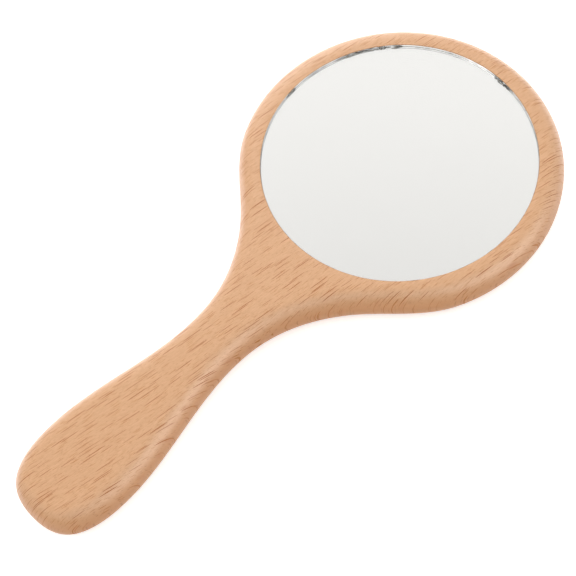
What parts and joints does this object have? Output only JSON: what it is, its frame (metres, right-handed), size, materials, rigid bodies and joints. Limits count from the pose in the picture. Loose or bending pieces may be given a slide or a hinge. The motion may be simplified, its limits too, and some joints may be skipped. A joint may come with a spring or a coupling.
{
  "type": "hand mirror",
  "caption": "Round hand mirror: a silvered glass disc set into a one-piece beech body with a waisted handle and rounded edges.",
  "frame": {"origin": "centre of the round head on the flat back face", "axes": "+Z out of the mirror's face, -Y along the handle towards its end, +X to the right when looking into the mirror with the handle down"},
  "size_m": [0.13, 0.261, 0.015],
  "materials": {
    "beech": "satin",
    "float_glass": "polished",
    "silver": "polished",
    "backing_paint": "matte",
    "foam_tape": "matte"
  },
  "bodies": {
    "root": {"wooden_body": "beech", "mirror_glass": "float_glass", "silver_coating": "silver", "backing_paint": "backing_paint", "foam_tape_strips": "foam_tape"}
  },
  "joints": []
}
